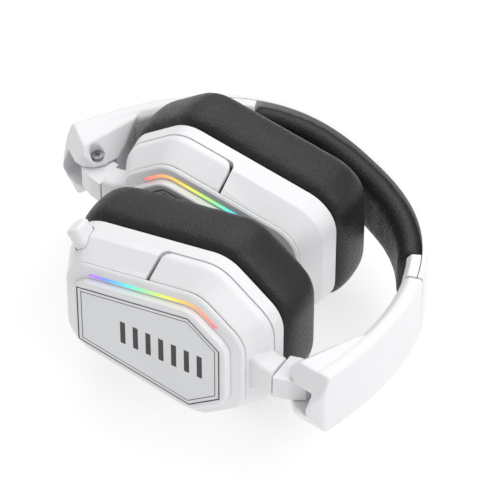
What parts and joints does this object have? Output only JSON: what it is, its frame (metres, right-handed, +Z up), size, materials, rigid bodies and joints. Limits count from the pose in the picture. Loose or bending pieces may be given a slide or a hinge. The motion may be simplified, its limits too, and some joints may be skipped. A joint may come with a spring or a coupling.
{
  "type": "folding gaming headset",
  "caption": "Over-ear wireless gaming headset, folded flat: angular cups with light strips and ring cushions on clevis hinges, sliding arms and a padded headband.",
  "frame": {"origin": "centre of the folded headset's footprint, on the surface that it lies on", "axes": "+X towards the wearer's left arm, +Y towards the crown of the headband, +Z up, which is the front of the headset when worn"},
  "size_m": [0.1816, 0.1438, 0.0836],
  "materials": {
    "white_plastic": "satin white moulded plastic",
    "light_grey_plastic": "matte light grey with printed line graphics",
    "light_diffuser": "translucent light guide, lit in a row of colours",
    "leatherette": "black protein leather with a fine pebble grain",
    "black_plastic": "matte black moulded plastic",
    "driver_cone": "black film cone and basket",
    "dark_mesh": "black perforated guard",
    "acoustic_cloth": "fine black knit",
    "steel": "plated steel",
    "spring_steel": "spring steel strip",
    "circuit_board": "green solder mask",
    "battery_wrap": "blue film round a flat cell"
  },
  "bodies": {
    "headband": {"headband_shell": "white_plastic", "headband_spring_band": "spring_steel", "headband_liner": "black_plastic", "headband_cushion": "leatherette", "left_end_cover": "white_plastic", "right_end_cover": "white_plastic"},
    "left_slider": {"left_slider_arm": "white_plastic", "left_arm_cover": "white_plastic", "left_slider_rail": "spring_steel", "left_hinge_pin": "steel"},
    "right_slider": {"right_slider_arm": "white_plastic", "right_arm_cover": "white_plastic", "right_slider_rail": "spring_steel", "right_hinge_pin": "steel"},
    "left_knuckle": {"left_hinge_block": "white_plastic"},
    "right_knuckle": {"right_hinge_block": "white_plastic"},
    "left_cup": {"left_swivel_post": "steel", "left_yoke": "white_plastic", "left_cup_housing": "white_plastic", "left_bezel": "white_plastic", "left_outer_plate": "light_grey_plastic", "left_light_strip": "light_diffuser", "left_baffle": "black_plastic", "left_driver": "driver_cone", "left_driver_magnet": "steel", "left_driver_grille": "dark_mesh", "left_ear_mesh": "acoustic_cloth", "left_ear_pad": "leatherette", "volume_wheel_axle": "steel", "usb_c_socket": "steel", "audio_jack": "black_plastic", "main_board": "circuit_board"},
    "right_cup": {"right_swivel_post": "steel", "right_yoke": "white_plastic", "right_cup_housing": "white_plastic", "right_bezel": "white_plastic", "right_outer_plate": "light_grey_plastic", "right_light_strip": "light_diffuser", "right_baffle": "black_plastic", "right_driver": "driver_cone", "right_driver_magnet": "steel", "right_driver_grille": "dark_mesh", "right_ear_mesh": "acoustic_cloth", "right_ear_pad": "leatherette", "battery": "battery_wrap"},
    "microphone": {"mic_boom": "white_plastic"},
    "power_key": {"power_button": "white_plastic"},
    "mute_key": {"mute_button": "white_plastic"},
    "volume_knob": {"volume_wheel": "black_plastic"}
  },
  "joints": [
    {"name": "left_slide", "type": "slide", "parent": "headband", "child": "left_slider", "axis": [0.7299, -0.6835, 0], "range_m": [0, 0.015]},
    {"name": "right_slide", "type": "slide", "parent": "headband", "child": "right_slider", "axis": [-0.7299, -0.6835, 0], "range_m": [0, 0.015]},
    {"name": "left_fold", "type": "hinge", "parent": "left_slider", "child": "left_knuckle", "pos_m": [0.0726, -0.01845, 0.0418], "axis": [0, 0, 1], "range_deg": [0, 67]},
    {"name": "right_fold", "type": "hinge", "parent": "right_slider", "child": "right_knuckle", "pos_m": [-0.0726, -0.01845, 0.0418], "axis": [0, 0, -1], "range_deg": [0, 5]},
    {"name": "left_swivel", "type": "hinge", "parent": "left_knuckle", "child": "left_cup", "pos_m": [0.07455, -0.02306, 0.0418], "axis": [0.9212, 0.3891, 0], "range_deg": [-6, 6]},
    {"name": "right_swivel", "type": "hinge", "parent": "right_knuckle", "child": "right_cup", "pos_m": [-0.07062, -0.02304, 0.0418], "axis": [-0.9184, -0.3955, 0], "range_deg": [-6, 6]},
    {"name": "mic_slide", "type": "slide", "parent": "left_cup", "child": "microphone", "axis": [-0.5284, -0.2232, 0.8192], "range_m": [0, 0.015]},
    {"name": "power_press", "type": "slide", "parent": "left_cup", "child": "power_key", "axis": [0.1685, 0.0712, 0.9831], "range_m": [0, 0.0008], "stiffness_N_per_m": 600},
    {"name": "mute_press", "type": "slide", "parent": "left_cup", "child": "mute_key", "axis": [0.1685, 0.0712, 0.9831], "range_m": [0, 0.0008], "stiffness_N_per_m": 600},
    {"name": "volume_turn", "type": "hinge", "parent": "left_cup", "child": "volume_knob", "pos_m": [0.00068, -0.05317, 0.01751], "axis": [-0.3891, 0.9212, 0], "continuous": true}
  ]
}
